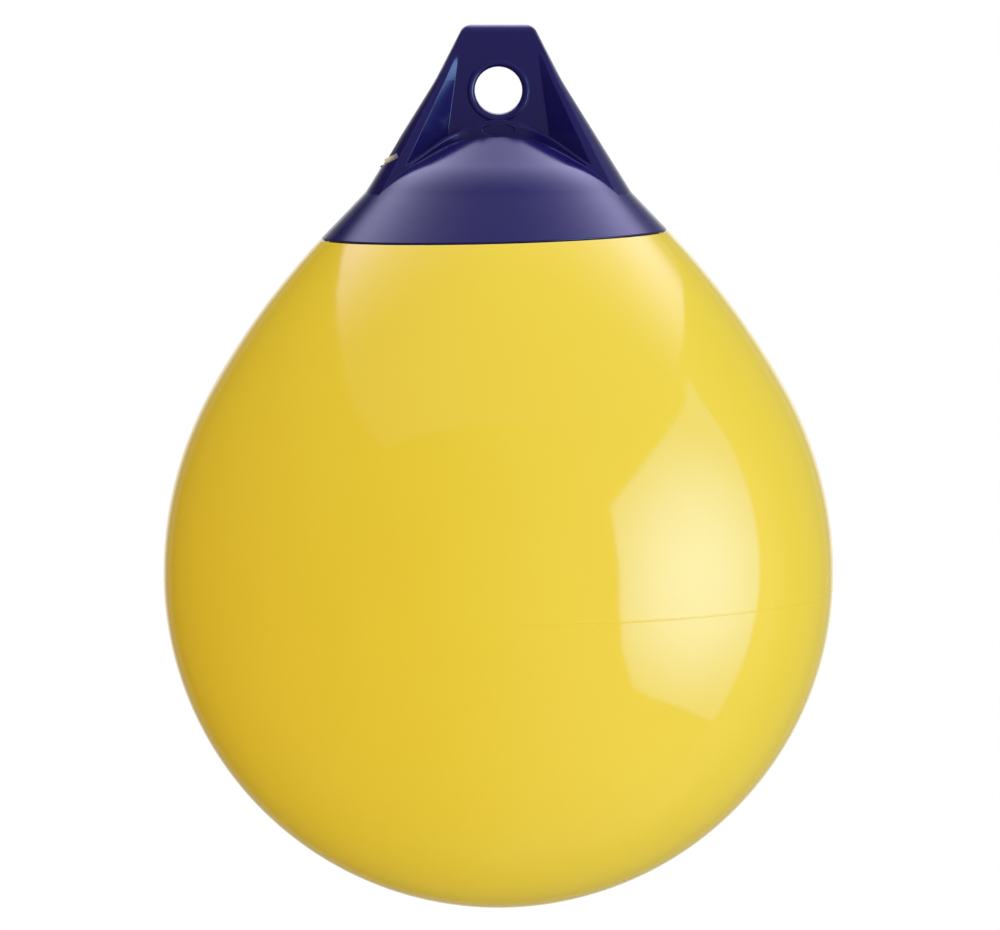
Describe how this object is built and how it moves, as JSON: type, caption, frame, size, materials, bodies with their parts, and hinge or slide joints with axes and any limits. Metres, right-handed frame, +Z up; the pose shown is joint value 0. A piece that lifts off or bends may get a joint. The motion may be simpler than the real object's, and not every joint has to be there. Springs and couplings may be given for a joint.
{
  "type": "inflatable mooring buoy",
  "caption": "Teardrop inflatable buoy: a yellow vinyl bag under a blue moulded rope hold with a round rope eye, two splayed flanges and a screw air valve.",
  "frame": {"origin": "centre of the rope eye, halfway through its thickness", "axes": "+Z up along the buoy's axis, +Y along the rope eye's bore, X from flange to flange with the air valve at -X"},
  "size_m": [0.5213, 0.5214, 0.6867],
  "materials": {
    "yellow_vinyl": "glossy, moulded",
    "blue_vinyl": "satin gloss, moulded",
    "white_nylon": "moulded",
    "seal_rubber": "smooth"
  },
  "bodies": {
    "float": {"bladder": "yellow_vinyl", "rope_hold": "blue_vinyl", "valve_housing": "white_nylon"},
    "seal": {"valve_seal": "seal_rubber"},
    "plug": {"valve_screw": "white_nylon"}
  },
  "joints": [
    {"name": "valve_lift", "type": "slide", "parent": "float", "child": "seal", "axis": [-0.5, 0, 0.866], "range_m": [0, 0.008]},
    {"name": "valve_turn", "type": "hinge", "parent": "seal", "child": "plug", "pos_m": [-0.0805, 0, -0.0526], "axis": [-0.5, 0, 0.866], "range_deg": [0, 1450]}
  ],
  "couplings": [
    {"joint": "valve_turn", "follows": "valve_lift", "rad_per_m": 3141.6}
  ]
}
